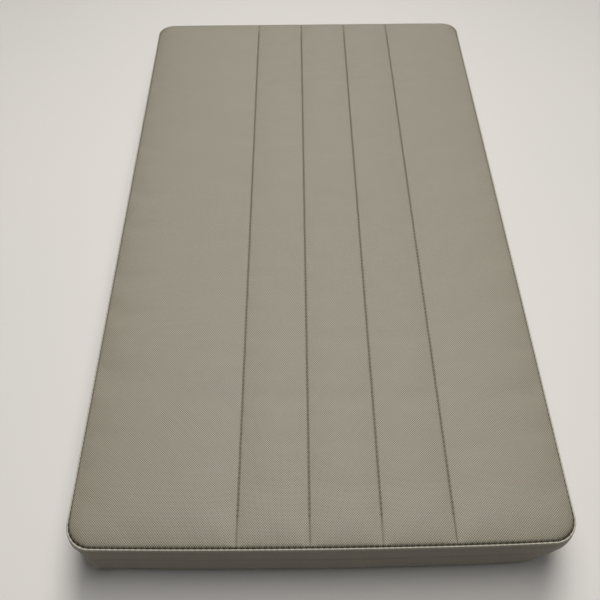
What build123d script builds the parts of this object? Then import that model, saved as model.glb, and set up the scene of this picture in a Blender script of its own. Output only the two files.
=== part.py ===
from build123d import *

import math
import os

# A kneeling pad: a sewn vinyl cover pulled over foam and a plywood board, and stapled underneath.
# Millimetres. +Z is up and Z = 0 is the floor; X is the pad's width and Y its length.

# Overall size
pad_width = 354.0
pad_length = 610.0
seam_corner_radius = 17.0
panel_above_lip = 1.7

# Layers
dust_cloth_thickness = 0.5
vinyl_thickness = 1.1
board_thickness = 12.0
foam_thickness = 34.0
sew_foam_thickness = 5.0

# Side band and the seam that joins it to the top panel
allowance_depth = 13.0
fold_gap = 0.6
band_bulge = 1.5
band_tuck = 1.7
under_radius = 4.0
flap_width = 36.0
flap_window_radius = 6.0
panel_roll_inside = 0.8
joint_from_back_seam = 70.0
joint_allowance = 9.0

# Pleats sewn into the top panel
pleat_count = 4
pleat_spacing = 49.4
first_pleat_from_left_side = 119.6
valley_top_width = 4.0
valley_bottom_width = 1.0
valley_depth = 1.0

# Thread
thread_diameter = 0.5
seam_stitch_below_lip = 2.5

# Board and its vents
board_clearance = 0.3
board_corner_radius = 30.0
vent_diameter = 19.0
vent_spacing_x = 150.0
vent_spacing_y = 200.0

# Dust cloth and staples
dust_cloth_inset = 16.0
dust_cloth_corner_radius = 6.0
staple_crown = 12.7
staple_wire_width = 0.95
staple_wire_thickness = 0.5
cover_staple_leg = 10.0
cover_staple_inset = 28.0
cover_staple_pitch = 38.0
dust_staple_leg = 8.0
dust_staple_inset = 20.0
dust_staple_pitch = 55.0

# Clearances
soft_clearance = 0.4
groove_clearance = 0.1

# Heights, from the floor up
band_under = dust_cloth_thickness
board_under = band_under + vinyl_thickness
board_top = board_under + board_thickness
foam_top = board_top + foam_thickness
sew_foam_top = foam_top + sew_foam_thickness
panel_top = sew_foam_top + vinyl_thickness
seam_height = panel_top - panel_above_lip
allowance_under = seam_height - allowance_depth

# The seam line, on which the two turned-down edges meet
lip_width = 2 * vinyl_thickness + fold_gap
seam_width = pad_width - 2 * (lip_width + band_bulge)
seam_length = pad_length - 2 * (lip_width + band_bulge)
half_width = seam_width / 2
half_length = seam_length / 2
fold_centre_height = seam_height - lip_width / 2

# The band's outer wall is an arc: from the fold, over the bulge, down to the under-roll
wall_foot = Vector(lip_width - band_tuck, band_under + under_radius)
wall_head = Vector(lip_width, fold_centre_height)
wall_middle = Vector(lip_width + band_bulge, (wall_foot.Y + wall_head.Y) / 2)
under_centre = wall_foot - Vector(under_radius, 0)


def circle_through(first, second, third):
    """Centre and radius of the circle through three points."""
    across = second - first
    beyond = third - first
    twice_area = 2 * (across.X * beyond.Y - across.Y * beyond.X)
    across_squared = across.length**2
    beyond_squared = beyond.length**2
    centre = first + Vector(
        (beyond.Y * across_squared - across.Y * beyond_squared) / twice_area,
        (across.X * beyond_squared - beyond.X * across_squared) / twice_area,
    )
    return centre, (centre - first).length


wall_centre, wall_radius = circle_through(wall_foot, wall_middle, wall_head)


def wall_point(height, depth):
    """A point of the wall, this far inside its outer face."""
    radius = wall_radius - depth
    return Vector(wall_centre.X + math.sqrt(radius**2 - (height - wall_centre.Y) ** 2), height)


def wall_arc(low, high, depth):
    """The wall's arc between two heights, this far inside its outer face."""
    points = [wall_point(height, depth) for height in (low, (low + high) / 2, high)]
    return ThreePointArc(*points)


def turn(centre, radius, start, end):
    """An arc about a centre between two angles in degrees."""
    points = []
    for angle in (start, (start + end) / 2, end):
        reach = math.radians(angle)
        points.append(centre + Vector(radius * math.cos(reach), radius * math.sin(reach)))
    return ThreePointArc(*points)


def section(*edges):
    """A closed face on XZ from edges drawn as outward distance and height."""
    return Plane.XZ * make_face(list(edges))


def ring(profile):
    """A profile drawn at the seam line, carried all round the pad's rounded outline."""
    long_run = 2 * (half_length - seam_corner_radius)
    short_run = 2 * (half_width - seam_corner_radius)
    at_side = Pos(half_width, 0, 0) * profile
    at_end = Pos(0, half_length, 0) * Rot(0, 0, 90) * profile
    side = extrude(at_side, long_run / 2, dir=(0, 1, 0), both=True)
    end = extrude(at_end, short_run / 2, dir=(1, 0, 0), both=True)
    corner_axis = Axis(
        (half_width - seam_corner_radius, half_length - seam_corner_radius, 0), (0, 0, 1)
    )
    corner_start = Pos(half_width, half_length - seam_corner_radius, 0) * profile
    corner = revolve(corner_start, corner_axis, 90)
    far_corner = mirror(corner, Plane.YZ)
    half = side + corner + end + far_corner
    whole = half + mirror(side, Plane.YZ) + mirror(end, Plane.XZ)
    return whole + mirror(corner, Plane.XZ) + mirror(far_corner, Plane.XZ)


def block(inset, low, high, corner_radius=None):
    """A slab with the pad's rounded outline, set in from the seam line."""
    radius = seam_corner_radius - inset if corner_radius is None else corner_radius
    outline = RectangleRounded(seam_width - 2 * inset, seam_length - 2 * inset, radius)
    return Pos(0, 0, low) * extrude(outline, high - low)


def soften_top(slab, radius):
    """Rounds a slab's upper edge."""
    return fillet(slab.faces().sort_by(Axis.Z)[-1].edges(), radius)


def pleat_places():
    """X of each pleat."""
    first = first_pleat_from_left_side - pad_width / 2
    return [first + number * pleat_spacing for number in range(pleat_count)]


def valley(top, bottom_drop, clearance, length):
    """A long trapezoid bar: a pleat's valley, or the ridge that it makes on the underside."""
    half_top = valley_top_width / 2 + clearance
    half_bottom = valley_bottom_width / 2 + clearance
    floor = top - bottom_drop - clearance
    rim = [(-half_top, top), (-half_bottom, floor), (half_bottom, floor), (half_top, top)]
    face = Plane.XZ * make_face(Polyline(*rim, close=True))
    return extrude(face, length / 2, both=True)


def build_top_panel():
    """The vinyl top, with its rolled, turned-down edge and a valley at each pleat."""
    outside = soften_top(
        block(0, allowance_under, panel_top), panel_roll_inside + vinyl_thickness
    )
    inside = soften_top(
        block(vinyl_thickness, allowance_under - vinyl_thickness, sew_foam_top),
        panel_roll_inside,
    )
    panel = outside - inside
    ridge = valley(sew_foam_top, valley_depth, 0, seam_length - vinyl_thickness)
    groove = valley(panel_top, valley_depth, 0, pad_length)
    for place in pleat_places():
        panel = panel + Pos(place, 0, 0) * ridge
    for place in pleat_places():
        panel = panel - Pos(place, 0, 0) * groove
    return panel


def build_sew_foam():
    """The thin foam quilted under the vinyl: grooved by the pleats, and below by their lower thread."""
    inset = vinyl_thickness + thread_diameter + groove_clearance
    foam = soften_top(block(inset, foam_top, sew_foam_top), panel_roll_inside)
    groove = valley(sew_foam_top, valley_depth, groove_clearance, pad_length)
    channel_size = thread_diameter + groove_clearance
    channel = Box(channel_size, pad_length, channel_size, align=(Align.CENTER, Align.CENTER, Align.MIN))
    for place in pleat_places():
        foam = foam - Pos(place, 0, 0) * groove - Pos(place, 0, foam_top) * channel
    return foam


def staple_row(inset, pitch, leg, under):
    """Staples along all four sides, crown down and legs up, this far in from the seam line."""
    low = (Align.CENTER, Align.CENTER, Align.MIN)
    crown = Box(staple_crown, staple_wire_width, staple_wire_thickness, align=low)
    spread = (staple_crown - staple_wire_thickness) / 2
    prong = Box(staple_wire_thickness, staple_wire_width, leg, align=low)
    staple = crown + Pos(spread, 0, 0) * prong + Pos(-spread, 0, 0) * prong
    staples = []
    corner_room = flap_width
    for run, reach, turned in (
        (seam_width, half_length - inset, 0),
        (seam_length, half_width - inset, 90),
    ):
        count = int((run - 2 * corner_room) / pitch) + 1
        step = (run - 2 * corner_room) / (count - 1)
        for number in range(count):
            along = number * step - (run - 2 * corner_room) / 2
            for side in (-1, 1):
                staples.append(Rot(0, 0, turned) * Pos(along, side * reach, under) * staple)
    return staples


def band_profile():
    """The side band in section: turned-down edge, folded lip, bulged wall and under-roll."""
    folded_edge = Line((0, allowance_under), (0, fold_centre_height))
    fold_centre = Vector(lip_width / 2, fold_centre_height)
    lip = turn(fold_centre, lip_width / 2, 180, 0)
    outer_wall = wall_arc(wall_foot.Y, wall_head.Y, 0)
    outer_roll = turn(under_centre, under_radius, 0, -90)
    roll_end = Line(outer_roll @ 1, (under_centre.X, board_under))
    inner_roll = turn(under_centre, under_radius - vinyl_thickness, -90, 0)
    wall_step = Line(inner_roll @ 1, wall_point(wall_foot.Y, vinyl_thickness))
    inner_wall = wall_arc(wall_foot.Y, fold_centre_height, vinyl_thickness)
    fold_step = Line(inner_wall @ 1, (lip_width - vinyl_thickness, fold_centre_height))
    inner_fold = turn(fold_centre, fold_gap / 2, 0, 180)
    inner_edge = Line(inner_fold @ 1, (vinyl_thickness, allowance_under))
    hem = Line(inner_edge @ 1, (0, allowance_under))
    steps = [edge for edge in (wall_step, fold_step) if edge.length > 1e-6]
    return section(
        folded_edge, lip, outer_wall, outer_roll, roll_end, inner_roll,
        inner_wall, inner_fold, inner_edge, hem, *steps,
    )


def half_space(front):
    """Everything in front of the band's two joints, or behind them."""
    reach = 2 * (pad_length + pad_width)
    joint = half_length - joint_from_back_seam
    side = Align.MAX if front else Align.MIN
    return Pos(0, joint, 0) * Box(reach, reach, reach, align=(Align.CENTER, side, Align.CENTER))


def joint_flange(front):
    """The turned-in edges at the band's two joints, one on each side of the pad."""
    low = board_top + soft_clearance
    high = allowance_under - soft_clearance
    depth = vinyl_thickness / 2
    buried = wall_arc(low, high, depth)
    inner_x = wall_point(low, depth).X - joint_allowance
    face = section(
        buried,
        Line(buried @ 1, (inner_x, high)),
        Line((inner_x, high), (inner_x, low)),
        Line((inner_x, low), buried @ 0),
    )
    joint = half_length - joint_from_back_seam
    direction = (0, -1, 0) if front else (0, 1, 0)
    flange = extrude(Pos(half_width, joint, 0) * face, vinyl_thickness, dir=direction)
    return flange + mirror(flange, Plane.YZ)


def build_band(front, staples):
    """The front or back length of the side band, with its flap under the board."""
    flap_start = -under_centre.X
    flap = block(flap_start, band_under, board_under)
    window = block(flap_width, 0, board_top, flap_window_radius)
    whole = ring(band_profile()) + (flap - window)
    return (whole & half_space(front)) + joint_flange(front) - staples


def build_foam_core():
    """The main foam, held in below the turned-down edges and notched at the band's joints."""
    low = board_top
    high = allowance_under - soft_clearance
    depth = vinyl_thickness + soft_clearance
    inner_x = -seam_corner_radius / 2
    edge = wall_arc(low, high, depth)
    rim = ring(
        section(
            edge,
            Line(edge @ 1, (inner_x, high)),
            Line((inner_x, high), (inner_x, low)),
            Line((inner_x, low), edge @ 0),
        )
    )
    inset = vinyl_thickness + thread_diameter + groove_clearance
    core = rim + block(-inner_x, low, high) + block(inset, high, foam_top)
    notch_depth = joint_allowance + lip_width + band_bulge
    notch_width = 2 * (vinyl_thickness + thread_diameter + groove_clearance)
    notch = Box(
        notch_depth, notch_width, high - low, align=(Align.MAX, Align.CENTER, Align.MIN)
    )
    joint = half_length - joint_from_back_seam
    notch_outer = half_width + lip_width + band_bulge
    right = Pos(notch_outer, joint, low) * notch
    return core - right - mirror(right, Plane.YZ)


def build_base_board(staples):
    """The plywood base, its corners and lower edge rounded, with vents and staple holes."""
    board = block(board_clearance, board_under, board_top, board_corner_radius)
    edge_round = under_radius - vinyl_thickness - board_clearance
    board = fillet(board.faces().sort_by(Axis.Z)[0].edges(), edge_round)
    vent = Cylinder(vent_diameter / 2, 3 * board_thickness)
    for across in (-1, 1):
        for along in (-1, 0, 1):
            board = board - Pos(across * vent_spacing_x / 2, along * vent_spacing_y, 0) * vent
    return board - staples


def thread_ring(outward, height):
    """A thread carried right round the seam, outward from the seam line."""
    return ring(Plane.XZ * Pos(outward, height) * Circle(thread_diameter / 2))


def straight_thread(x, height):
    """A pleat's upper or lower thread, along the pad."""
    length = seam_length - 2 * vinyl_thickness
    return Pos(x, 0, height) * Rot(90, 0, 0) * Cylinder(thread_diameter / 2, length)


def joint_thread(side):
    """The thread up one joint of the band, on the turned-in edge of its front length."""
    low = board_top + 2 * soft_clearance
    high = allowance_under - 2 * soft_clearance
    across = side * (half_width + wall_point(low, vinyl_thickness).X - joint_allowance / 3)
    gap = vinyl_thickness + thread_diameter / 2
    along = half_length - joint_from_back_seam - gap
    stand = Cylinder(
        thread_diameter / 2, high - low, align=(Align.CENTER, Align.CENTER, Align.MIN)
    )
    return Pos(across, along, low) * stand


cover_staples = staple_row(cover_staple_inset, cover_staple_pitch, cover_staple_leg, band_under)
dust_staples = staple_row(dust_staple_inset, dust_staple_pitch, dust_staple_leg, 0)
all_staples = cover_staples + dust_staples
dust_cover = block(dust_cloth_inset, 0, dust_cloth_thickness, dust_cloth_corner_radius)
stitch_height = seam_height - seam_stitch_below_lip
thread_radius = thread_diameter / 2

nodes = {
    "base_board": build_base_board(all_staples),
    "foam_core": build_foam_core(),
    "sew_foam": build_sew_foam(),
    "top_panel": build_top_panel(),
    "band_front": build_band(True, all_staples),
    "band_back": build_band(False, all_staples),
    "seam_needle_thread": thread_ring(-vinyl_thickness - thread_radius, stitch_height),
    "seam_bobbin_thread": thread_ring(vinyl_thickness + fold_gap / 2, stitch_height),
    "joint_thread_left": joint_thread(-1),
    "joint_thread_right": joint_thread(1),
    "cover_staples": Compound(children=cover_staples),
    "dust_cover": dust_cover - dust_staples,
    "dust_cover_staples": Compound(children=dust_staples),
}
valley_floor = panel_top - valley_depth
for number, place in enumerate(pleat_places(), start=1):
    upper = straight_thread(place, valley_floor + thread_radius)
    lower = straight_thread(place, foam_top + thread_radius)
    nodes[f"pleat_needle_thread_{number}"] = upper
    nodes[f"pleat_bobbin_thread_{number}"] = lower

os.makedirs("parts", exist_ok=True)
for name, solid in nodes.items():
    export_step(solid, f"parts/{name}.step")
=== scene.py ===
import math

import bpy
import numpy as np
from mathutils import Matrix, Vector
from mathutils.bvhtree import BVHTree


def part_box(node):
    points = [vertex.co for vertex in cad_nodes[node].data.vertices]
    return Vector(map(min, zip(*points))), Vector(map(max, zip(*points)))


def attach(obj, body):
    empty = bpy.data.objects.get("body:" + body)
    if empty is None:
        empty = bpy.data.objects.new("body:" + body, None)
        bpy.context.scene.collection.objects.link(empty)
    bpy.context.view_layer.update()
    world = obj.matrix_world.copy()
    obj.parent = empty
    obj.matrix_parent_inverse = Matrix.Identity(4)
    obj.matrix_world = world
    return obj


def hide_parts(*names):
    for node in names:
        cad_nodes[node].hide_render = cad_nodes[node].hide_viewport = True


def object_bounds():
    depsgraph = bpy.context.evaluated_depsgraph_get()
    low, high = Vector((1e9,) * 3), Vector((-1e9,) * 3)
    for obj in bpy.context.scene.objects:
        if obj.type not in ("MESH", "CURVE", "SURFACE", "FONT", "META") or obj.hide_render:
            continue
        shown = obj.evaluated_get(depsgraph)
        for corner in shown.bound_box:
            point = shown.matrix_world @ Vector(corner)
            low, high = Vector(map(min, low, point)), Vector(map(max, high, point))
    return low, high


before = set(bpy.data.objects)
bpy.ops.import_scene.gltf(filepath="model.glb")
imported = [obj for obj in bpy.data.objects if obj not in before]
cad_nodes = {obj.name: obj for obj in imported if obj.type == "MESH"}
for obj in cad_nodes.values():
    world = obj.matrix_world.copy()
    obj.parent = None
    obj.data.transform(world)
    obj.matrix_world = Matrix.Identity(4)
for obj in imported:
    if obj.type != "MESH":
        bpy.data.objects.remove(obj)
cad_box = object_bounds()

# --------------------------------------
# The table and the light.
# A smooth pale table top carries the pad. A soft light hangs over it, a lamp stands beyond its
# far end and a higher one before its near end. Window light slants in from behind, so that the
# near side stands in its own shadow.
# --------------------------------------


class Shade:
    """One socket of a material's nodes. Sums and products of these add their Math nodes."""

    def __init__(self, tree, socket=None):
        self.tree = tree
        self.socket = socket

    def node(self, kind, settings=None, inputs=None, output=0):
        """Adds a node, makes its settings, and then gives its sockets their values or links."""
        added = self.tree.nodes.new(kind)
        for name, value in (settings or {}).items():
            if name == "stops":
                ramp = added.color_ramp.elements
                while len(ramp) < len(value):
                    ramp.new(1.0)
                for stop, (place, level) in zip(ramp, value):
                    stop.position = place
                    stop.color = (level, level, level, 1.0)
            else:
                setattr(added, name, value)
        for name, value in (inputs or {}).items():
            if isinstance(value, Shade):
                self.tree.links.new(value.socket, added.inputs[name])
            else:
                added.inputs[name].default_value = value
        return Shade(self.tree, added.outputs[output])

    def maths(self, operation, first, second=0.0):
        return self.node("ShaderNodeMath", {"operation": operation}, {0: first, 1: second})

    def __add__(self, other):
        return self.maths("ADD", self, other)

    def __radd__(self, other):
        return self.maths("ADD", other, self)

    def __sub__(self, other):
        return self.maths("SUBTRACT", self, other)

    def __rsub__(self, other):
        return self.maths("SUBTRACT", other, self)

    def __mul__(self, other):
        return self.maths("MULTIPLY", self, other)

    def __rmul__(self, other):
        return self.maths("MULTIPLY", other, self)

    def tinted(self, low, high):
        """A colour between low, where this is 0, and high, where it is 1."""
        return self.node(
            "ShaderNodeMix", {"data_type": "RGBA"}, {0: self, 6: low, 7: high}, output=2
        )

    def noise(self, place, scale, detail=2.0, rough=0.5):
        """Soft random levels from 0 to 1, this many to the metre."""
        return self.node(
            "ShaderNodeTexNoise",
            {"noise_dimensions": "3D"},
            {"Vector": place, "Scale": scale, "Detail": detail, "Roughness": rough},
        )

    def bump(self, height, distance, strength=1.0):
        """A shading normal from a height."""
        return self.node(
            "ShaderNodeBump", None, {"Height": height, "Distance": distance, "Strength": strength}
        )


def colour(red, green, blue):
    """A linear colour from 8-bit display levels."""
    levels = [level / 255 for level in (red, green, blue)]
    linear = [v / 12.92 if v <= 0.04045 else ((v + 0.055) / 1.055) ** 2.4 for v in levels]
    return (*linear, 1.0)


def finish(name, constants):
    """A new material, its shader, and a Shade that adds nodes to it."""
    material = bpy.data.materials.new(name)
    material.use_nodes = True
    shader = material.node_tree.nodes["Principled BSDF"]
    for socket, value in constants.items():
        shader.inputs[socket].default_value = value
    return material, shader, Shade(material.node_tree)


def wire(shader, links):
    """Links Shades to a shader's sockets."""
    for socket, shade in links.items():
        shade.tree.links.new(shade.socket, shader.inputs[socket])


def object_place(nodes):
    return nodes.node("ShaderNodeTexCoord", output=3)


def new_piece(name, vertices, faces, material, smooth=True):
    """A mesh object at the origin, with its place in its mesh."""
    mesh = bpy.data.meshes.new(name)
    mesh.from_pydata(np.asarray(vertices).tolist(), [], faces)
    mesh.polygons.foreach_set("use_smooth", [smooth] * len(mesh.polygons))
    mesh.materials.append(material)
    mesh.update()
    piece = bpy.data.objects.new(name, mesh)
    bpy.context.scene.collection.objects.link(piece)
    return piece


table_half = 6.0
table_pale = colour(226, 222, 217)
table_cool = colour(220, 217, 213)
table_finish, table_shader, nodes = finish(
    "table_top", {"Roughness": 0.8, "IOR": 1.4, "Specular IOR Level": 0.25}
)
clouds = nodes.noise(object_place(nodes), 3.0)
wire(table_shader, {"Base Color": clouds.tinted(table_cool, table_pale)})
table_corners = [
    (-table_half, -table_half, 0), (table_half, -table_half, 0),
    (table_half, table_half, 0), (-table_half, table_half, 0),
]
table_top = new_piece("table_top", table_corners, [(0, 1, 2, 3)], table_finish, smooth=False)

pad_centre = Vector((0, 0, cad_box[1][2]))


def soft_light(name, place, size, power, warmth):
    """A rectangular area light that looks at the pad."""
    lamp = bpy.data.lights.new(name, "AREA")
    lamp.shape = "RECTANGLE"
    lamp.size, lamp.size_y = size
    lamp.energy = power
    lamp.color = warmth
    light = bpy.data.objects.new(name, lamp)
    aim = (pad_centre - Vector(place)).to_track_quat("-Z", "Y")
    light.matrix_world = Matrix.Translation(place) @ aim.to_matrix().to_4x4()
    bpy.context.scene.collection.objects.link(light)


soft_light("ceiling_light", (0.03, -0.06, 1.05), (0.6, 0.6), 4.6, (1.0, 0.99, 0.975))
soft_light("far_lamp", (-0.06, 0.62, 0.95), (0.4, 0.4), 2.4, (1.0, 0.99, 0.975))
soft_light("near_lamp", (0.18, -0.65, 1.5), (1.0, 0.5), 3.2, (0.985, 0.99, 1.0))

window = bpy.data.lights.new("window_light", "SUN")
window.energy = 1.5
window.angle = math.radians(30)
window.color = (1.0, 0.985, 0.96)
window_light = bpy.data.objects.new("window_light", window)
window_height = math.radians(47)
window_side = math.radians(10)
window_from = Vector((
    math.cos(window_height) * math.sin(window_side),
    math.cos(window_height) * math.cos(window_side),
    math.sin(window_height),
))
window_light.matrix_world = window_from.to_track_quat("Z", "Y").to_matrix().to_4x4()
bpy.context.scene.collection.objects.link(window_light)

# The room is pale at its horizon and nearly dark overhead.
horizon_strength = 0.4
overhead_strength = 0.01
fade_end = 0.16
room = bpy.data.worlds.new("room")
room.use_nodes = True
room_light = room.node_tree.nodes["Background"]
room_light.inputs["Color"].default_value = colour(222, 221, 222)
room_shade = Shade(room.node_tree)
looking = room_shade.node("ShaderNodeTexCoord")
upwards = room_shade.node("ShaderNodeSeparateXYZ", None, {0: looking}, output=2)
wire(room_light, {"Strength": room_shade.node(
    "ShaderNodeMapRange", {"interpolation_type": "SMOOTHSTEP"},
    {"Value": upwards, "From Min": 0.0, "From Max": fade_end,
     "To Min": horizon_strength, "To Max": overhead_strength},
)})
bpy.context.scene.world = room
bpy.context.scene.view_settings.view_transform = "Standard"

# The camera stands over the pad's near end and looks down along it.
camera_place = Vector((-0.0136, -0.4367, 0.5217))
camera_pitch = math.radians(54.315)
camera_yaw = math.radians(-0.127)
camera_roll = math.radians(-0.476)
look = Vector((0, math.cos(camera_pitch), -math.sin(camera_pitch)))
over = Vector((0, math.sin(camera_pitch), math.cos(camera_pitch)))
aside = Vector((1, 0, 0))
about_z = Matrix.Rotation(camera_yaw, 3, "Z")
look, over, aside = about_z @ look, about_z @ over, about_z @ aside
rolled_aside = math.cos(camera_roll) * aside + math.sin(camera_roll) * over
rolled_over = math.cos(camera_roll) * over - math.sin(camera_roll) * aside
lens = bpy.data.cameras.new("camera")
lens.lens = 41.18
lens.sensor_width = 36.0
lens.clip_start = 0.01
camera = bpy.data.objects.new("camera", lens)
turned = Matrix((rolled_aside, rolled_over, -look)).transposed()
camera.matrix_world = Matrix.Translation(camera_place) @ turned.to_4x4()
bpy.context.scene.collection.objects.link(camera)
bpy.context.scene.camera = camera

# --------------------------------------
# The quilted top.
# A sheet of grey-taupe vinyl, embossed like a woven cloth, with 5 mm foam sewn under it by four
# straight pleats. Its edge is turned down all round and sewn to the side band.
# --------------------------------------

mm = 0.001
panel_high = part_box("top_panel")[1]
half_width = panel_high.x
half_length = panel_high.y
flat_top = panel_high.z
corner_radius = 17 * mm
core_x = half_width - corner_radius
core_y = half_length - corner_radius
pleat_names = [f"pleat_needle_thread_{number}" for number in range(1, 5)]
pleats = [sum(corner.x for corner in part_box(name)) / 2 for name in pleat_names]
quarter = corner_radius * math.pi / 2
seam_round = 4 * (core_x + core_y + quarter)
seam_stitches = round(seam_round / (3.95 * mm))
seam_pitch = seam_round / seam_stitches
pleat_pitch = 3.7 * mm
joint_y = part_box("band_back")[0].y


def outline(along):
    """Where the seam line is, at these distances along it from the middle of the right side.

    The place is base + corner_radius * way, and way points outwards.
    """
    along = np.asarray(along) % seam_round
    legs = [core_y, quarter, 2 * core_x, quarter, 2 * core_y, quarter, 2 * core_x, quarter, core_y]
    starts = np.concatenate([[0], np.cumsum(legs)[:-1]])
    leg = np.searchsorted(starts, along, side="right") - 1
    run = along - starts[leg]
    turned_by = np.where(leg % 2 == 1, (leg // 2 + run / quarter) * np.pi / 2, leg // 2 * np.pi / 2)
    way = np.stack([np.cos(turned_by), np.sin(turned_by)], -1)
    corner_x = np.array([core_x, core_x, core_x, -core_x, -core_x, -core_x, -core_x, core_x, core_x])
    corner_y = np.array([0, core_y, core_y, core_y, core_y, -core_y, -core_y, -core_y, -core_y])
    step_x = np.array([0, 0, -1, 0, 0, 0, 1, 0, 0])
    step_y = np.array([1, 0, 0, 0, -1, 0, 0, 0, 1])
    base = np.stack([corner_x[leg] + step_x[leg] * run, corner_y[leg] + step_y[leg] * run], -1)
    return base, way


def stitch_wave(along):
    """1 at each seam stitch's needle hole and 0 half way between two holes."""
    return 0.5 + 0.5 * np.cos(2 * np.pi * (along - joint_y) / seam_pitch)


def near_corner(x, y, reach):
    """1 at the pad's corners, falling to 0 this far from them."""
    apart = np.hypot(np.abs(x) - half_width, np.abs(y) - half_length)
    return np.exp(-((apart / reach) ** 2))


def spaced(stops, step):
    """Numbers from the first stop to the last, through all stops, at most this far apart."""
    runs = []
    for low, high in zip(stops, stops[1:]):
        runs.append(np.linspace(low, high, max(2, math.ceil((high - low) / step) + 1)))
    return np.unique(np.round(np.concatenate(runs), 7))


crown_cap = 2.6 * mm
crown_share = 0.022
crown_end = 40 * mm
pillow_rise = 1.4 * mm
trial_step = 6.5 * mm


def pillow(x, y):
    """The gentle rise of the main foam towards the middle of the pad."""
    across = np.clip(1 - (x / half_width) ** 4, 0, 1)
    lengthways = np.clip(1 - (y / half_length) ** 6, 0, 1)
    return pillow_rise * across * lengthways


def blow_up_quilt():
    """The vinyl between its seams as a tight cloth held at the pleats and pushed up by the foam."""
    stops = [-half_width, *pleats, half_width]
    columns = spaced(stops, trial_step)
    rows = spaced([-half_length, half_length], trial_step)
    x, y = np.meshgrid(columns, rows)
    places = np.stack([x.ravel(), y.ravel(), np.zeros(x.size)], -1)
    wide = len(columns)
    faces = [
        (start, start + 1, start + wide + 1, start + wide)
        for row in range(len(rows) - 1)
        for start in range(row * wide, row * wide + wide - 1)
    ]
    cloth = new_piece("quilt_trial", places, faces, vinyl)
    held = np.isin(np.round(x.ravel(), 6), np.round(stops, 6)) | (np.abs(y.ravel()) > half_length - mm)
    pins = cloth.vertex_groups.new(name="sewn")
    pins.add(np.flatnonzero(held).tolist(), 1.0, "REPLACE")
    modifier = cloth.modifiers.new("cloth", "CLOTH")
    modifier.settings.vertex_group_mass = "sewn"
    modifier.settings.quality = 6
    modifier.settings.mass = 0.4
    modifier.settings.tension_stiffness = 40
    modifier.settings.compression_stiffness = 40
    modifier.settings.bending_stiffness = 4
    modifier.settings.use_pressure = True
    modifier.settings.uniform_pressure_force = 4
    modifier.settings.shrink_min = -0.004
    modifier.settings.effector_weights.gravity = 0
    for step in range(1, 21):
        bpy.context.scene.frame_set(step)
    shaped = cloth.evaluated_get(bpy.context.evaluated_depsgraph_get()).data
    moved = np.zeros(len(shaped.vertices) * 3)
    shaped.vertices.foreach_get("co", moved)
    rise = moved.reshape(-1, 3)[:, 2]
    rise = crown_cap * np.tanh(rise / crown_cap)
    bpy.context.scene.frame_set(1)
    bpy.data.objects.remove(cloth)
    surface = new_piece("quilt_trial", np.stack([x.ravel(), y.ravel(), rise], -1), faces, vinyl)
    subdivision = surface.modifiers.new("finer", "SUBSURF")
    subdivision.levels = subdivision.render_levels = 2
    depsgraph = bpy.context.evaluated_depsgraph_get()
    tree = BVHTree.FromObject(surface, depsgraph)
    bpy.data.objects.remove(surface)
    return tree


def crown(x, y):
    """How far the foam pushes the vinyl up between its seams."""
    if quilt_tree is not None:
        rise = np.zeros(x.shape)
        for number, (across, along) in enumerate(zip(x, y)):
            hit = quilt_tree.ray_cast((across, along, 0.1), (0, 0, -1))[0]
            rise[number] = hit.z if hit else 0.0
        return rise
    stops = np.array([-half_width, *pleats, half_width])
    bay = np.clip(np.searchsorted(stops, x) - 1, 0, len(stops) - 2)
    share = (x - stops[bay]) / (stops[bay + 1] - stops[bay])
    width = stops[bay + 1] - stops[bay]
    bow = np.clip(4 * share * (1 - share), 0, 1) ** 0.8
    ends = np.clip((half_length - np.abs(y)) / crown_end, 0, 1)
    return np.minimum(crown_cap, crown_share * width) * bow * np.sin(ends * np.pi / 2)


roll_width = 1.5 * mm
roll_drop = 0.8 * mm
edge_sink = 0.35 * mm
corner_dip = 1.1 * mm
seam_pull = 0.9 * mm
pleat_crease = 0.7 * mm
pleat_shoulder = 0.35 * mm
needle_pull = 0.6 * mm
plain_end = 16 * mm


def inside_by(x, y):
    """Distance from the seam line, inwards."""
    over_x = np.abs(x) - core_x
    over_y = np.abs(y) - core_y
    out = np.hypot(np.maximum(over_x, 0), np.maximum(over_y, 0))
    return corner_radius - out - np.minimum(np.maximum(over_x, over_y), 0)


def plain_share(y):
    """1 along the plain front end of a pleat, where the crease is pressed shut, and 0 beyond."""
    return 1 - np.clip((y + half_length - plain_end) / (3 * mm), 0, 1)


front_lip_bow = 2.75 * mm
slack_middle = -22 * mm


def settled(points):
    """The same points with the slack front edge standing forwards in its middle."""
    x, y, z = np.asarray(points).T
    near = np.clip(1 - (y + half_length) / (60 * mm), 0, 1) ** 2
    high = np.clip((z - 6 * mm) / (40 * mm), 0, 1)
    bow = np.clip(1 - ((x - slack_middle) / (half_width + 4 * mm)) ** 2, 0, 1) ** 0.8
    return np.column_stack([x, y - front_lip_bow * bow * near * high, z])


def needle_wave(y):
    """1 at each needle hole of a pleat, and 0 between them and along its plain front end."""
    wave = (0.5 + 0.5 * np.cos(2 * np.pi * y / pleat_pitch)) ** 2
    return wave * (1 - plain_share(y))


def panel_height(x, y, along):
    """The vinyl's upper face."""
    inside = inside_by(x, y)
    height = flat_top + crown(x, y) + pillow(x, y)
    short = np.clip(1 - inside / roll_width, 0, 1)
    height -= roll_drop * (1 - np.sqrt(np.clip(1 - short**2, 0, 1)))
    height -= edge_sink * np.exp(-inside / (4 * mm))
    height -= corner_dip * near_corner(x, y, 20 * mm) * np.exp(-inside / (6 * mm))
    if along is not None:
        height -= seam_pull * stitch_wave(along) * np.exp(-inside / (0.8 * mm))
    held = np.clip(inside / (2.5 * mm), 0, 1)
    for place in pleats:
        off = np.abs(x - place)
        height -= held * pleat_crease * np.exp(-off / (0.5 * mm))
        height -= held * pleat_shoulder * np.exp(-((off / (5 * mm)) ** 2))
        height -= held * needle_pull * np.exp(-((off / (0.75 * mm)) ** 2)) * needle_wave(y)
    return height


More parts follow.
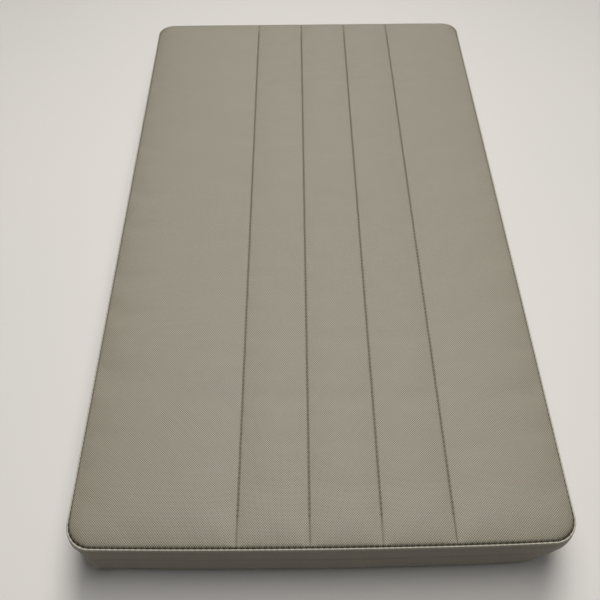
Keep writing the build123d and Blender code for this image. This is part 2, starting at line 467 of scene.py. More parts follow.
def zipped(inner, inner_along, outer, outer_along):
    """Triangles between two closed rings, from the distance along the seam of each vertex."""
    inner, outer = [*inner, inner[0]], [*outer, outer[0]]
    inner_along = [*inner_along, inner_along[0] + seam_round]
    outer_along = [*outer_along, outer_along[0] + seam_round]
    faces = []
    a = b = 0
    while a < len(inner) - 1 or b < len(outer) - 1:
        outer_done = b == len(outer) - 1
        if outer_done or (a < len(inner) - 1 and inner_along[a + 1] <= outer_along[b + 1]):
            if inner[a] != inner[a + 1]:
                faces.append([int(inner[a]), int(outer[b]), int(inner[a + 1])])
            a += 1
        else:
            faces.append([int(inner[a]), int(outer[b]), int(outer[b + 1])])
            b += 1
    return faces


def ring_faces(inner, outer):
    """Quads between two closed rings with as many vertices each."""
    return np.stack([inner, outer, np.roll(outer, -1), np.roll(inner, -1)], -1).tolist()


def quilt_skin(columns, rows, along, reaches, height):
    """A skin over the pad: a grid inside its corner centres, and rings from there to the edge.

    along says where each ring's vertices are, and reaches how far out each ring lies. The result
    is vertices, faces and the outermost ring.
    """
    x, y = np.meshgrid(columns, rows)
    wide, deep = len(columns), len(rows)
    index = np.arange(wide * deep).reshape(deep, wide)
    back_start = core_y + quarter + core_x
    left_start = 2 * (core_y + quarter + core_x)
    front_start = 3 * (core_y + quarter + core_x)
    border = np.concatenate([index[:, -1], index[-1, ::-1], index[::-1, 0], index[0]])
    border_along = np.concatenate([
        rows, back_start - columns[::-1], left_start - rows[::-1], front_start + columns,
    ])
    points = [np.stack([x.ravel(), y.ravel(), height(x.ravel(), y.ravel(), None)], -1)]
    lower = index[:-1, :-1].ravel()
    faces = np.stack([lower, lower + 1, lower + wide + 1, lower + wide], -1).tolist()
    base, way = outline(along)
    ring = None
    for number, reach in enumerate(reaches):
        place = base + reach * way
        level = height(place[:, 0], place[:, 1], along)
        points.append(np.column_stack([place, level]))
        outer = wide * deep + number * len(along) + np.arange(len(along))
        if ring is None:
            faces += zipped(border, border_along, outer, along)
        else:
            faces += ring_faces(ring, outer)
        ring = outer
    return np.concatenate(points), faces, ring


def give(piece, name, levels):
    """Stores one number for each vertex."""
    stored = piece.data.attributes.new(name, "FLOAT", "POINT")
    stored.data.foreach_set("value", np.asarray(levels, np.float32))


def lay_weave(piece, places):
    """A UV map in metres, so that the emboss keeps its scale along every surface."""
    loops = np.zeros(len(piece.data.loops), np.int32)
    piece.data.loops.foreach_get("vertex_index", loops)
    layer = piece.data.uv_layers.new(name="weave")
    layer.data.foreach_set("uv", np.asarray(places, np.float32)[loops].ravel())


weave_pitch = 1.62 * mm
vinyl_warm = colour(147, 140, 122)
vinyl_cool = colour(141, 135, 118)
# Painted shade colour, for the weave's pits and the sewn grooves.
vinyl_shade = colour(58, 53, 42)
# Painted highlight colour for the weave's raised knots.
vinyl_knot_highlight = colour(178, 172, 156)
# Painted highlight colour for the lip's crest.
vinyl_lip_highlight = colour(200, 194, 178)


def vinyl_finish():
    """Embossed vinyl, faint clouds of tone, with painted shade in the weave's pits and sewn grooves and
    painted highlights on its knots and the lip's crest.
    """
    material, shader, nodes = finish(
        "cover_vinyl", {"IOR": 1.46, "Specular IOR Level": 0.5}
    )
    flat = nodes.node("ShaderNodeUVMap", {"uv_map": "weave"})
    place = object_place(nodes)
    bent = nodes.node(
        "ShaderNodeVectorMath", {"operation": "SCALE"},
        {0: flat, "Scale": 2 * math.pi / weave_pitch},
    )
    warp = nodes.maths("SINE", nodes.node("ShaderNodeSeparateXYZ", None, {0: bent}))
    weft = nodes.maths("SINE", nodes.node("ShaderNodeSeparateXYZ", None, {0: bent}, output=1))
    knots = warp * weft
    grain = nodes.noise(place, 2600.0, 2.0)
    clouds = nodes.noise(place, 9.0, 3.0)
    groove = nodes.node("ShaderNodeAttribute", {"attribute_name": "groove"}, output=2)
    worn = nodes.node("ShaderNodeAttribute", {"attribute_name": "worn"}, output=2)
    tone = clouds.tinted(vinyl_cool, vinyl_warm)
    # Painted shade in the weave's pits and a painted highlight on its knots.
    pit_shade = nodes.maths("MAXIMUM", 0.0 - knots, 0.0) * 0.95
    knot_highlight = nodes.maths("MAXIMUM", knots, 0.0) * 1.1
    shaded_weave = knot_highlight.tinted(pit_shade.tinted(tone, vinyl_shade), vinyl_knot_highlight)
    # Painted highlight along the lip's crest, where the light catches it.
    highlit = worn.tinted(shaded_weave, vinyl_lip_highlight)
    # Painted shade from the vertex attribute: darker in the sewn grooves, creases, corners, under the lip
    # and down the side walls.
    sewn = groove.tinted(highlit, vinyl_shade)
    relief = knots * 0.5 + grain * 0.35
    wire(shader, {
        "Base Color": sewn,
        "Roughness": 0.33 + clouds * 0.08 + groove * 0.35,
        "Normal": nodes.bump(relief, 0.00022, 0.9),
    })
    return material


vinyl = vinyl_finish()
quilt_tree = blow_up_quilt()

pleat_offsets = np.array([0, 0.25, 0.55, 1.0, 1.8, 3.0, 5.0]) * mm
pleat_columns = np.concatenate([place + side * pleat_offsets for place in pleats for side in (-1, 1)])
side_columns = [-core_x]
for place in pleats:
    side_columns += [place - pleat_offsets[-1], place + pleat_offsets[-1]]
side_columns.append(core_x)
between = [spaced(side_columns[pair:pair + 2], 9 * mm) for pair in range(0, len(side_columns), 2)]
fine_columns = np.unique(np.round(np.concatenate([pleat_columns, *between]), 6))
fine_rows = np.linspace(-core_y, core_y, 4 * 192 + 1)
edge_reaches = corner_radius - np.array([11, 7, 4.8, 3.4, 2.4, 1.7, 1.15, 0.7, 0.35, 0.1]) * mm
coarse_columns = np.unique(np.round(np.concatenate([pleats, fine_columns[::4], [core_x]]), 6))
coarse_rows = fine_rows[::8]
seam_samples = 5
first_sample = joint_y - seam_pitch * math.floor((joint_y + core_y) / seam_pitch)
fine_along = first_sample + np.arange(seam_samples * seam_stitches) * seam_pitch / seam_samples
coarse_along = fine_along[:: 2 * seam_samples]
vinyl_thickness = 1.1 * mm
allowance_foot = 45.5 * mm
groove_foot = 47.8 * mm


def under_vinyl(x, y, along):
    """The vinyl's lower face."""
    return panel_height(x, y, None) - vinyl_thickness


def build_quilted_top():
    """Upper skin, turned-down edge, and a plainer skin underneath, closed at the foot of the edge."""
    points, faces, ring = quilt_skin(
        fine_columns, fine_rows, fine_along, edge_reaches, panel_height
    )
    dark = painted_groove_shade(points, fine_along)
    base, way = outline(fine_along)
    edge = base + corner_radius * way
    for level in (groove_foot, allowance_foot):
        points = np.concatenate([points, np.column_stack([edge, np.full(len(edge), level)])])
        lower = len(points) - len(edge) + np.arange(len(edge))
        faces += ring_faces(ring, lower)
        ring = lower
    under, under_faces, under_ring = quilt_skin(
        coarse_columns, coarse_rows, coarse_along, edge_reaches[1:7:2], under_vinyl
    )
    shift = len(points)
    faces += [[shift + corner for corner in face[::-1]] for face in under_faces]
    base, way = outline(coarse_along)
    foot = base + (corner_radius - vinyl_thickness) * way
    points = np.concatenate([points, under, np.column_stack([foot, np.full(len(foot), allowance_foot)])])
    lower = len(points) - len(foot) + np.arange(len(foot))
    faces += [face[::-1] for face in ring_faces(under_ring + shift, lower)]
    faces += zipped(lower, coarse_along, ring, fine_along)
    for face in faces[-len(lower) - len(ring):]:
        face.reverse()
    piece = new_piece("quilted_top", settled(points), faces, vinyl)
    # The turned-down edge and the underside get full painted shade.
    give(piece, "groove", np.concatenate([dark, np.ones(len(points) - len(dark))]))
    give(piece, "worn", np.zeros(len(points)))
    lay_weave(piece, points[:, :2])
    return piece


def painted_groove_shade(points, along):
    """How much painted shade each point of the top gets, from 0 to 1."""
    x, y = points[:, 0], points[:, 1]
    inside = inside_by(x, y)
    pit = np.full(len(points), 0.5)
    rings = len(edge_reaches) * len(along)
    pit[-rings:] = np.tile(stitch_wave(along), len(edge_reaches))
    # Painted shade in the seam's groove, deepest at the needle holes, and in the corners.
    dark = (0.05 + 0.75 * pit**2) * np.exp(-((inside / (0.5 * mm)) ** 2))
    dark = dark + 0.35 * near_corner(x, y, 16 * mm) * np.exp(-inside / (3 * mm))
    for place in pleats:
        off = np.abs(x - place)
        # Painted shade along each pleat, at its needle holes and along its plain front end.
        dark = dark + 0.18 * np.exp(-((off / (0.45 * mm)) ** 2))
        dark = dark + 0.95 * np.exp(-((off / (0.5 * mm)) ** 2)) * needle_wave(y)
        dark = dark + 0.50 * np.exp(-((off / (0.45 * mm)) ** 2)) * plain_share(y)
    return np.clip(dark, 0, 1)


quilted_top = build_quilted_top()
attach(quilted_top, "root")
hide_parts("top_panel")

# --------------------------------------
# The side band.
# Two lengths of the same vinyl. The upper edge is folded over into a lip and sewn to the top's
# turned-down edge; the lower edge is pulled round the board and stapled to its underside.
# --------------------------------------

lip_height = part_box("band_front")[1].z
lip_radius = 0.75 * mm
lip_centre_out = 1.05 * mm
lip_centre_height = lip_height - lip_radius
wall_foot_out = 1.1 * mm
wall_foot_height = 3.0 * mm
wall_bow = 2.7 * mm
under_radius = 2.6 * mm
flap_under = 0.62 * mm
flap_inset = 36.0 * mm
flap_corner = 6.0 * mm
band_thickness = 0.95 * mm
front_foot_bow = 2.8 * mm
other_foot_bow = 2.2 * mm
foot_corner_radius = 24.0 * mm
loose_corner_radius = 31.0 * mm
ledge_height = lip_height - 14 * mm
# Which rows of the band's section these are, counted from the sewn edge.
sewn_rows, lip_inside, lip_crest = slice(0, 2), slice(2, 5), slice(4, 8)
below_lip, tuck_rows = slice(9, None), slice(13, 24)
# How much painted shade darkens the side wall below the lip.
wall_painted_shade = 0.3
crease_at = 2 * (core_x + core_y) + core_y + 2.64 * quarter
crease_depth = 3.2 * mm


def wall_out(height):
    """How far the wall stands out from the seam line, on the plain stretch of a side."""
    share = (height - wall_foot_height) / (lip_centre_height - wall_foot_height)
    head_out = lip_centre_out + lip_radius
    return wall_foot_out * (1 - share) + head_out * share + wall_bow * 4 * share * (1 - share)


def band_section():
    """The band's outer face in section, from the sewn edge over the lip and down to the flap.

    Each row is the distance outwards from the seam line, the height, and the share of the way
    across the flap.
    """
    rows = [(0.12 * mm, 45.5 * mm, 0), (0.1 * mm, 48.8 * mm, 0)]
    for angle in np.radians([180, 150, 120, 90, 60, 30, 0]):
        rows.append((
            lip_centre_out + lip_radius * np.cos(angle),
            lip_centre_height + lip_radius * np.sin(angle), 0,
        ))
    for height in (49.4, 47.6, 45, 42, 39.4, 37.6, 35, 31, 26, 20, 14, 9, 5, 3):
        rows.append((wall_out(height * mm), height * mm, 0))
    for angle in np.radians([-25, -50, -75]):
        rows.append((
            wall_foot_out + under_radius * (np.cos(angle) - 1),
            wall_foot_height + (wall_foot_height - flap_under) * np.sin(angle), 0,
        ))
    for share in (0, 0.12, 0.4, 1):
        rows.append((wall_foot_out - under_radius, flap_under, share))
    return np.array(rows)


def foot_bow(base, way):
    """How far the slack lower edge stands out between the corners."""
    along_end = np.abs(way[:, 1]) > np.abs(way[:, 0])
    reach = np.where(along_end, core_x, core_y)
    off = np.where(along_end, base[:, 0] - slack_middle, base[:, 1]) / (reach + 6 * mm)
    bow = np.where(way[:, 1] < -0.7, front_foot_bow, other_foot_bow)
    straight = np.abs(np.abs(way[:, 0]) - np.abs(way[:, 1])) ** 2
    return bow * np.clip(1 - off**2, 0, 1) ** 0.8 * straight


def rounder_by(place, way, radius):
    """How far inside the seam line the same outline lies with this larger corner radius."""
    off = np.abs(place) - np.array([half_width, half_length]) + np.asarray(radius)[:, None]
    outward = (off * np.abs(way)).sum(-1)
    depth = outward - np.sqrt(np.maximum(radius**2 - (off**2).sum(-1) + outward**2, 0))
    return np.where((off > 0).all(-1), depth, 0)


def corner_turn(way):
    """0 along the sides, rising to 1 at the middle of each corner."""
    return np.clip(2 * np.abs(way[:, 0] * way[:, 1]), 0, 1)


def crease(along):
    """1 at the tuck in the front left corner, and less than 0 where the band is full beside it."""
    off = along - crease_at
    return np.exp(-((off / (3 * mm)) ** 2)) - 0.8 * np.exp(-(((off - 8 * mm) / (5 * mm)) ** 2))


def band_places(along):
    """Where the outer face lies at each row of the section and each distance along the seam."""
    section = band_section()
    base, way = outline(along)
    turn = corner_turn(way)
    stitch = stitch_wave(along)
    seam_x = base[:, 0] + corner_radius * way[:, 0]
    seam_y = base[:, 1] + corner_radius * way[:, 1]
    ear = near_corner(seam_x, seam_y, 14 * mm)
    bow = foot_bow(base, way)
    loose = (seam_x > 0) & (seam_y < 0)
    foot_radius = np.where(loose, loose_corner_radius, foot_corner_radius)
    tuck = rounder_by(np.column_stack([seam_x, seam_y]), way, foot_radius)
    joint = np.minimum(np.abs(along - joint_y), np.abs(along - (seam_round / 2 - joint_y)))
    ripple = np.sin(along * 41 + 0.6) * np.sin(along * 17 + 2.1)
    places = []
    for out, height, share in section:
        wall = np.clip((lip_centre_height - height) / (lip_centre_height - wall_foot_height), 0, 1)
        fold = math.exp(-(((height - lip_centre_height) / (1.8 * mm)) ** 2)) if share == 0 else 0
        pinch = 1 - 0.22 * stitch * fold
        outward = lip_centre_out + (out - lip_centre_out) * (pinch if wall == 0 else 1)
        rise = height + fold * (0.5 * mm * ear - 0.22 * mm * stitch)
        outward = outward + fold * 0.5 * mm * ear
        lower = wall**2 * (3 - 2 * wall)
        outward = outward + bow * lower - tuck * lower
        outward = outward + 0.22 * mm * ripple * math.sin(math.pi * wall)
        outward = outward - crease_depth * crease(along) * math.sin(math.pi * wall**1.4 * 0.8)
        if ledge_height < height < lip_centre_height - 2 * mm:
            outward = outward + 0.35 * mm
        if 0.02 < wall < 1:
            outward = outward - 0.8 * mm * np.exp(-((joint / (1.3 * mm)) ** 2))
        if share > 0:
            window = base * np.array([
                (half_width - flap_inset - flap_corner) / core_x,
                (half_length - flap_inset - flap_corner) / core_y,
            ])
            start = base + (corner_radius + outward)[:, None] * way
            stop = window + flap_corner * way
            spot = start + share * (stop - start)
            rise = rise - 0.3 * mm * turn**2 * np.cos(np.arctan2(way[:, 1], way[:, 0]) * 24) * (1 - share)
        else:
            spot = base + (corner_radius + outward)[:, None] * way
        places.append(np.column_stack([spot, rise]))
    return np.array(places)


def section_inset():
    """The direction from the outer face to the inner one at each row: outward part and height."""
    section = band_section()
    flat = np.column_stack([section[:, 0] - section[:, 2] * (flap_inset - 3 * mm), section[:, 1]])
    run = np.gradient(flat, axis=0)
    run /= np.linalg.norm(run, axis=1)[:, None]
    return np.column_stack([run[:, 1], -run[:, 0]])


def build_band(name, start, stop):
    """A length of the band between two distances along the seam, closed at its ends."""
    count = 4 * round((stop - start) / seam_pitch)
    along = np.linspace(start, stop, count + 1)
    outer = band_places(along)
    inset = section_inset()
    base, way = outline(along)
    inner = outer.copy()
    inner[:, :, :2] += band_thickness * inset[:, 0][:, None, None] * way[None]
    inner[:, :, 2] += band_thickness * inset[:, 1][:, None]
    levels, wide = outer.shape[:2]
    points = np.concatenate([outer.reshape(-1, 3), inner.reshape(-1, 3)])
    index = np.arange(levels * wide).reshape(levels, wide)
    back = index + levels * wide
    faces = []
    for a, b, flip in ((index[:-1], index[1:], False), (back[:-1], back[1:], True)):
        quads = np.stack([a[:, :-1], b[:, :-1], b[:, 1:], a[:, 1:]], -1).reshape(-1, 4)
        faces += (quads[:, ::-1] if flip else quads).tolist()
    for row, flip in ((0, False), (levels - 1, True)):
        quads = np.stack([index[row, :-1], index[row, 1:], back[row, 1:], back[row, :-1]], -1)
        faces += (quads[:, ::-1] if flip else quads).tolist()
    for column, flip in ((0, False), (wide - 1, True)):
        quads = np.stack([
            index[:-1, column], back[:-1, column], back[1:, column], index[1:, column],
        ], -1)
        faces += (quads[:, ::-1] if flip else quads).tolist()
    piece = new_piece(name, settled(points), faces, vinyl)
    steps = np.linalg.norm(np.diff(outer[:, 0], axis=0), axis=1)
    down = np.concatenate([[0], np.cumsum(steps)])
    flat = np.stack(np.meshgrid(along, down), -1).reshape(-1, 2)
    lay_weave(piece, np.concatenate([flat, flat]))
    section = band_section()
    shade = np.zeros((levels, wide))
    # Painted shade on the sewn edge, which lies hidden behind the top's turned-down edge.
    shade[sewn_rows] = 1.0
    pinched = stitch_wave(along)
    # Painted shade down the wall below the lip, which faces away from the light.
    shade[below_lip] = wall_painted_shade
    # Painted shade on the lip's inner side, deepest at each needle hole.
    shade[lip_inside] = np.array([0.9, 0.5, 0.1])[:, None] * (0.15 + 0.85 * pinched**2)[None]
    # Painted shade in a line under the ledge of the seam allowance.
    ledge = np.exp(-(((section[:, 1] - ledge_height) / (0.9 * mm)) ** 2)) * (section[:, 2] == 0)
    shade += 0.25 * ledge[:, None]
    # Painted shade in the tuck at the front left corner.
    shade[tuck_rows] += 0.5 * np.clip(crease(along), 0, 1)
    # Painted highlight on the lip's crest, fainter at each needle hole.
    worn = np.zeros((levels, wide))
    worn[lip_crest] = np.array([0.6, 1.0, 0.7, 0.1])[:, None] * (1 - 0.35 * pinched)[None]
    give(piece, "groove", np.concatenate([shade.ravel(), np.ones(levels * wide)]))
    give(piece, "worn", np.concatenate([worn.ravel(), np.zeros(levels * wide)]))
    return piece


left_joint = seam_round / 2 - joint_y
band_lengths = {
    "side_band_front": ("band_front", left_joint, seam_round + joint_y),
    "side_band_back": ("band_back", joint_y, left_joint),
}
for name, (cad_name, start, stop) in band_lengths.items():
    band = build_band(name, start, stop)
    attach(band, "root")
    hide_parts(cad_name)

# --------------------------------------
# The thread.
# Bonded polyester, half a millimetre thick, in the colour of the vinyl. Lockstitches run along
# the four pleats and round the whole seam, and their lower threads lie inside the cover.
# --------------------------------------

thread_light = colour(158, 151, 132)
thread_dark = colour(108, 101, 85)


def thread_finish():
    """Twisted thread: fine slanting ridges across it with painted shade between them, and a slightly
    uneven dye.
    """
    material, shader, nodes = finish("bonded_thread", {"IOR": 1.5, "Specular IOR Level": 0.35})
    place = object_place(nodes)
    ply = nodes.node(
        "ShaderNodeTexWave", {"wave_type": "BANDS", "bands_direction": "DIAGONAL"},
        {"Vector": place, "Scale": 900.0, "Distortion": 1.0}, output=1,
    )
    dye = nodes.noise(place, 160.0)
    # The ply bands darken the colour as painted shade between the twisted ridges; the dye noise is the
    # thread's own.
    wire(shader, {
        "Base Color": (ply * 0.6 + dye * 0.4).tinted(thread_dark, thread_light),
        "Roughness": 0.45 + dye * 0.2,
        "Normal": nodes.bump(ply, 0.00008),
    })
    return material


thread = thread_finish()


def stitch_tree():
    """Geometry nodes that sew one stitch after another along the edges of a mesh."""
    tree = bpy.data.node_groups.new("row_of_stitches", "GeometryNodeTree")
    face = tree.interface
    face.new_socket("Seam", in_out="INPUT", socket_type="NodeSocketGeometry")
    for name in ("Pitch", "Stitch Length", "Rise", "Thread Radius", "Unevenness"):
        face.new_socket(name, in_out="INPUT", socket_type="NodeSocketFloat")
    face.new_socket("Seed", in_out="INPUT", socket_type="NodeSocketInt")
    face.new_socket("Thread", in_out="INPUT", socket_type="NodeSocketMaterial")
    face.new_socket("Stitches", in_out="OUTPUT", socket_type="NodeSocketGeometry")
    given = tree.nodes.new("NodeGroupInput").outputs

    def add(kind, inputs, **settings):
        node = tree.nodes.new(kind)
        for name, value in settings.items():
            setattr(node, name, value)
        for name, value in inputs.items():
            if isinstance(value, bpy.types.NodeSocket):
                tree.links.new(value, node.inputs[name])
            else:
                node.inputs[name].default_value = value
        return node.outputs

    half = add("ShaderNodeMath", {0: given["Stitch Length"], 1: 0.5}, operation="MULTIPLY")[0]
    minus_half = add("ShaderNodeMath", {0: half, 1: -1.0}, operation="MULTIPLY")[0]
    minus_rise = add("ShaderNodeMath", {0: given["Rise"], 1: -1.0}, operation="MULTIPLY")[0]
    start = add("ShaderNodeCombineXYZ", {0: minus_half, 2: minus_rise})[0]
    stop = add("ShaderNodeCombineXYZ", {0: half, 2: minus_rise})[0]
    start_pull = add("ShaderNodeVectorMath", {0: start, 1: (0.55, 1.0, -0.6)}, operation="MULTIPLY")[0]
    stop_pull = add("ShaderNodeVectorMath", {0: stop, 1: (0.55, 1.0, -0.6)}, operation="MULTIPLY")[0]
    loop = add("GeometryNodeCurvePrimitiveBezierSegment", {
        "Resolution": 6, "Start": start, "Start Handle": start_pull,
        "End Handle": stop_pull, "End": stop,
    })[0]
    rim = add("GeometryNodeCurvePrimitiveCircle", {"Resolution": 6, "Radius": given["Thread Radius"]})[0]
    stitch = add("GeometryNodeCurveToMesh", {"Curve": loop, "Profile Curve": rim, "Fill Caps": True})[0]
    path = add("GeometryNodeMeshToCurve", {"Mesh": given["Seam"]})[0]
    holes = add(
        "GeometryNodeResampleCurve", {"Curve": path, "Length": given["Pitch"]}, mode="LENGTH"
    )[0]
    tangent = add("GeometryNodeInputTangent", {})[0]
    forwards = add("FunctionNodeAlignRotationToVector", {"Vector": tangent}, axis="X")[0]
    upright = add(
        "FunctionNodeAlignRotationToVector", {"Rotation": forwards, "Vector": (0.0, 0.0, 1.0)},
        axis="Z", pivot_axis="X",
    )[0]
    least = add("ShaderNodeMath", {0: 1.0, 1: given["Unevenness"]}, operation="SUBTRACT")[0]
    most = add("ShaderNodeMath", {0: 1.0, 1: given["Unevenness"]}, operation="ADD")[0]
    size = add("FunctionNodeRandomValue", {
        2: least, 3: most, "Seed": given["Seed"],
    }, data_type="FLOAT")[1]
    sewn = add("GeometryNodeInstanceOnPoints", {
        "Points": holes, "Instance": stitch, "Rotation": upright, "Scale": size,
    })[0]
    real = add("GeometryNodeRealizeInstances", {"Geometry": sewn})[0]
    smooth = add("GeometryNodeSetShadeSmooth", {"Geometry": real})[0]
    dyed = add("GeometryNodeSetMaterial", {"Geometry": smooth, "Material": given["Thread"]})[0]
    result = tree.nodes.new("NodeGroupOutput")
    tree.links.new(dyed, result.inputs["Stitches"])
    return tree


stitch_rows = stitch_tree()
stitch_sockets = {
    item.name: item.identifier for item in stitch_rows.interface.items_tree if item.in_out == "INPUT"
}


def sew(name, lines, **sizes):
    """Stitches along polylines, as one plain mesh."""
    points = np.concatenate(lines)
    edges = []
    first = 0
    for line in lines:
        edges += [(first + step, first + step + 1) for step in range(len(line) - 1)]
        first += len(line)
    mesh = bpy.data.meshes.new(name + "_path")
    mesh.from_pydata(points.tolist(), edges, [])
    path = bpy.data.objects.new(name + "_path", mesh)
    bpy.context.scene.collection.objects.link(path)
    modifier = path.modifiers.new("sewing", "NODES")
    modifier.node_group = stitch_rows
    for size, value in {**sizes, "Thread": thread}.items():
        modifier[stitch_sockets[size]] = value
    bpy.context.view_layer.update()
    depsgraph = bpy.context.evaluated_depsgraph_get()
    sewn = bpy.data.meshes.new_from_object(path.evaluated_get(depsgraph), depsgraph=depsgraph)
    bpy.data.objects.remove(path)
    piece = bpy.data.objects.new(name, sewn)
    bpy.context.scene.collection.objects.link(piece)
    return piece


def pleat_line(place):
    """The bottom of a pleat, half a stitch off its needle holes, from its plain end to the back."""
    first = math.ceil((plain_end - half_length) / pleat_pitch)
    last = math.floor((half_length - 3 * mm) / pleat_pitch)
    y = np.arange(first + 0.5, last) * pleat_pitch
    x = np.full(len(y), place)
    return settled(np.column_stack([x, y, panel_height(x, y, None) + 0.18 * mm]))


pleat_stitches = sew(
    "pleat_stitches", [pleat_line(place) for place in pleats],
    **{"Pitch": pleat_pitch, "Stitch Length": 3.1 * mm, "Rise": 0.35 * mm,
       "Thread Radius": 0.24 * mm, "Unevenness": 0.04, "Seed": 4},
)
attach(pleat_stitches, "root")
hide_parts(*pleat_names)

seam_along = joint_y + (np.arange(seam_stitches * 2 + 1) / 2 + 0.5) * seam_pitch
seam_base, seam_way = outline(seam_along)
seam_line = seam_base + (corner_radius + 0.1 * mm) * seam_way
seam_stitch_height = lip_height - 0.75 * mm
seam_path = settled(np.column_stack([seam_line, np.full(len(seam_line), seam_stitch_height)]))
seam_sewing = sew(
    "seam_stitches", [seam_path],
    **{"Pitch": seam_pitch, "Stitch Length": 3.3 * mm, "Rise": 0.5 * mm,
       "Thread Radius": 0.25 * mm, "Unevenness": 0.05, "Seed": 9},
)
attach(seam_sewing, "root")
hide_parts("seam_needle_thread")


def dress(name, material):
    """Gives a CAD piece its finish."""
    slots = cad_nodes[name].data.materials
    slots.clear()
    slots.append(material)


hidden_threads = ["seam_bobbin_thread", "joint_thread_left", "joint_thread_right"]
hidden_threads += [f"pleat_bobbin_thread_{number}" for number in range(1, len(pleats) + 1)]
for name in hidden_threads:
    dress(name, thread)

# --------------------------------------
# The foam.
# A 34 mm core of cut polyurethane foam rests on the board, and a thin sheet of softer foam is
# sewn under the vinyl, where the pleats press grooves into it. Both are soft and open-celled.
# --------------------------------------

foam_gap = 0.35 * mm


def foam_finish(name, pale, deep, cells):
    """Open-celled foam: painted shade in its small pores, and a faint yellowing."""
    material, shader, nodes = finish(name, {"IOR": 1.35, "Specular IOR Level": 0.15})
    place = object_place(nodes)
    pores = nodes.node(
        "ShaderNodeTexVoronoi", {"feature": "F1"}, {"Vector": place, "Scale": cells}
    )
    ageing = nodes.noise(place, 14.0)
    # The pores darken the colour as painted shade; the ageing noise is the foam's own yellowing.
    open_cell = pores * 0.8 + ageing * 0.3
    wire(shader, {
        "Base Color": open_cell.tinted(deep, pale),
        "Roughness": 0.85 + ageing * 0.1,
        "Normal": nodes.bump(pores, 0.0004),
    })
    return material


def foam_block(name, material, rings, top):
    """A foam slab from rings of distance inside the seam line and height, with a shaped top."""
    base, way = outline(coarse_along)
    points, faces, ring = quilt_skin(coarse_columns, coarse_rows, coarse_along, edge_reaches[1:5:3], top)
    for out, height in rings:
        place = base + np.maximum(corner_radius + out, 0.1 * mm) * way
        points = np.concatenate([points, np.column_stack([place, np.full(len(place), height)])])
        lower = len(points) - len(place) + np.arange(len(place))
        faces += ring_faces(ring, lower)
        ring = lower
    shift = len(points)
    under, under_faces, under_ring = quilt_skin(
        coarse_columns[::6], coarse_rows[::12], coarse_along, edge_reaches[1:2],
        lambda x, y, along: np.full(len(x), rings[-1][1]),
    )
    faces += [[shift + corner for corner in face[::-1]] for face in under_faces]
    faces += ring_faces(ring, under_ring + shift)
    points = np.concatenate([points, under])
    return new_piece(name, points, faces, material)


core_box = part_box("foam_core")
sew_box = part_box("sew_foam")
sew_under = sew_box[0].z


def sew_top(x, y, along):
    return under_vinyl(x, y, None) - foam_gap


def core_top(x, y, along):
    return np.full(len(x), sew_under - foam_gap)


sew_foam_finish = foam_finish("sew_foam_open_cell", colour(196, 196, 192), colour(120, 120, 116), 1500.0)
core_finish = foam_finish("core_foam_open_cell", colour(222, 208, 160), colour(150, 132, 86), 900.0)
sew_rings = [(-1.9 * mm, 51.0 * mm), (-2.0 * mm, sew_under)]
sew_sheet = foam_block("quilted_foam_sheet", sew_foam_finish, sew_rings, sew_top)
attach(sew_sheet, "root")
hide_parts("sew_foam")

core_rings = [
    (-3.0 * mm, sew_under - 1.2 * mm), (-2.6 * mm, 40 * mm), (-1.6 * mm, 30 * mm),
    (-1.9 * mm, 20 * mm), (-3.2 * mm, 15 * mm), (-4.4 * mm, core_box[0].z),
]
core_slab = foam_block("core_foam", core_finish, core_rings, core_top)
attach(core_slab, "root")
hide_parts("foam_core")

# --------------------------------------
# The board.
# Twelve millimetres of birch plywood, its corners and lower edge rounded so that they don't
# cut the cover. Six bored holes let the air out of the pad when it is knelt on.
# --------------------------------------

birch_pale = colour(214, 186, 142)
birch_dark = colour(164, 126, 82)
glue_dark = colour(120, 86, 54)
ply_count = 9


def plywood_finish():
    """Birch plywood: long grain on its faces, and dark and pale plies round its edge."""
    material, shader, nodes = finish("birch_plywood", {"IOR": 1.5, "Specular IOR Level": 0.3})
    place = object_place(nodes)
    drawn = nodes.node("ShaderNodeMapping", None, {"Vector": place, "Scale": (60.0, 4.0, 60.0)})
    grain = nodes.noise(drawn, 3.0, 5.0, 0.6)
    height = nodes.node("ShaderNodeSeparateXYZ", None, {0: place}, output=2)
    board_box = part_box("base_board")
    ply = (height - board_box[0].z) * (math.pi * ply_count / (board_box[1].z - board_box[0].z))
    glue_line = nodes.maths("POWER", nodes.maths("ABSOLUTE", nodes.maths("COSINE", ply)), 8.0)
    upright = nodes.node("ShaderNodeNewGeometry", output=1)
    facing = nodes.node("ShaderNodeSeparateXYZ", None, {0: upright}, output=2)
    edge = 1.0 - nodes.maths("ABSOLUTE", facing)
    wood = grain.tinted(birch_dark, birch_pale)
    wire(shader, {
        "Base Color": (glue_line * edge * 0.8).tinted(wood, glue_dark),
        "Roughness": 0.55 + grain * 0.2,
        "Normal": nodes.bump(grain, 0.0003),
    })
    return material


dress("base_board", plywood_finish())

# --------------------------------------
# The underside.
# A black spun-bonded dust cloth, its edges folded in, is stapled over the cover's flap. The
# flap itself is stapled to the board by a closer row. All staples are galvanized steel wire.
# --------------------------------------

dust_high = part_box("dust_cover")[1]
dust_corner = 6.0 * mm
hem_width = 11.0 * mm
dust_thickness = 0.28 * mm
cloth_black = colour(30, 30, 32)
cloth_grey = colour(52, 52, 55)


def dust_cloth_finish():
    """Spun-bonded cloth: a grid of small pressed points in tangled fibre."""
    material, shader, nodes = finish("dust_cloth", {"IOR": 1.45, "Specular IOR Level": 0.2})
    place = object_place(nodes)
    points = nodes.node(
        "ShaderNodeTexVoronoi", {"feature": "F1", "voronoi_dimensions": "2D"},
        {"Vector": place, "Scale": 620.0, "Randomness": 0.12},
    )
    fibre = nodes.noise(place, 1800.0, 4.0, 0.7)
    clouds = nodes.noise(place, 30.0)
    wire(shader, {
        "Base Color": (points * 0.5 + fibre * 0.5 + clouds * 0.2).tinted(cloth_black, cloth_grey),
        "Roughness": 0.8 + fibre * 0.15,
        "Normal": nodes.bump(points + fibre * 0.6, 0.0002),
    })
    return material


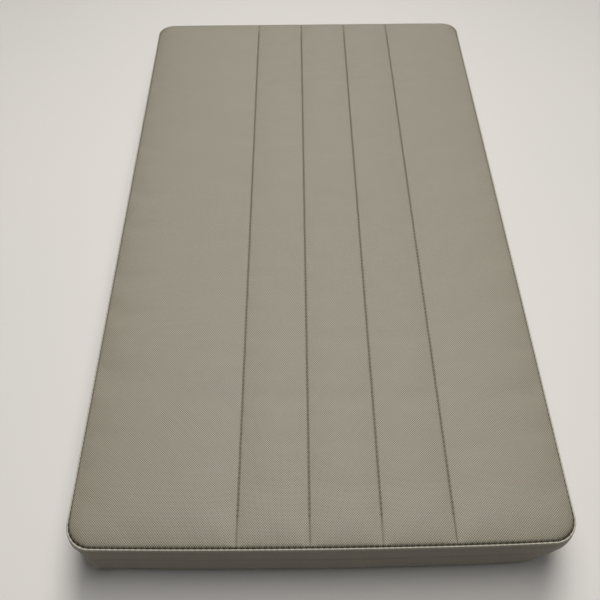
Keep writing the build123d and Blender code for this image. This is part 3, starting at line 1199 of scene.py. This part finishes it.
def build_dust_cloth():
    """The cloth lies taut on the flap, with faint puckers between its staples and a folded hem."""
    step = 4 * mm
    wide, long = dust_high.x - dust_corner, dust_high.y - dust_corner
    columns = spaced([-wide, wide], step)
    rows = spaced([-long, long], step)
    x, y = np.meshgrid(columns, rows)
    index = np.arange(x.size).reshape(x.shape)
    border = np.concatenate([index[:, -1], index[-1, ::-1], index[::-1, 0], index[0]])
    ways = np.concatenate([
        np.tile((1.0, 0.0), (len(rows), 1)), np.tile((0.0, 1.0), (len(columns), 1)),
        np.tile((-1.0, 0.0), (len(rows), 1)), np.tile((0.0, -1.0), (len(columns), 1)),
    ])
    flat = np.column_stack([x.ravel(), y.ravel()])
    edge = flat[border] + dust_corner * ways
    places = np.concatenate([flat, edge])
    ring = x.size + np.arange(len(edge))
    lower = index[:-1, :-1].ravel()
    step_up = x.shape[1]
    faces = np.stack([lower, lower + 1, lower + step_up + 1, lower + step_up], -1).tolist()
    faces += [
        [a, b, c] if a == d else [a, b, c, d]
        for a, b, c, d in ring_faces(border, ring)
    ]
    inside = np.minimum(dust_high.x - np.abs(places[:, 0]), dust_high.y - np.abs(places[:, 1]))
    hem = np.clip((hem_width - inside) / (1.2 * mm), 0, 1)
    pucker = np.sin(places[:, 0] * 230) * np.sin(places[:, 1] * 190)
    level = 0.17 * mm - 0.09 * mm * hem + 0.05 * mm * pucker * (1 - hem)
    level = level + 0.25 * mm * np.clip((inside - 30 * mm) / (60 * mm), 0, 1)
    under = np.column_stack([places, level])
    above = np.column_stack([places, level + dust_thickness])
    count = len(places)
    whole = [face[::-1] for face in faces] + [[corner + count for corner in face] for face in faces]
    whole += [
        [a, b, b + count, a + count] for a, b in zip(ring.tolist(), np.roll(ring, -1).tolist())
    ]
    return new_piece("dust_cloth", np.concatenate([under, above]), whole, dust_finish)


dust_finish = dust_cloth_finish()
dust_cloth = build_dust_cloth()
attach(dust_cloth, "root")
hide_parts("dust_cover")

zinc_bright = colour(196, 198, 200)
zinc_dull = colour(128, 130, 134)


def staple_finish():
    """Galvanized wire: drawn along its length, dulled in patches."""
    material, shader, nodes = finish("galvanized_wire", {"Metallic": 1.0})
    place = object_place(nodes)
    drawn = nodes.node("ShaderNodeMapping", None, {"Vector": place, "Scale": (1.0, 1.0, 6.0)})
    scratches = nodes.noise(drawn, 900.0, 3.0, 0.6)
    dull = nodes.noise(place, 240.0)
    wire(shader, {
        "Base Color": dull.tinted(zinc_dull, zinc_bright),
        "Roughness": 0.28 + scratches * 0.25,
        "Normal": nodes.bump(scratches, 0.00005),
    })
    return material


staple_steel = staple_finish()
dress("cover_staples", staple_steel)
dress("dust_cover_staples", staple_steel)
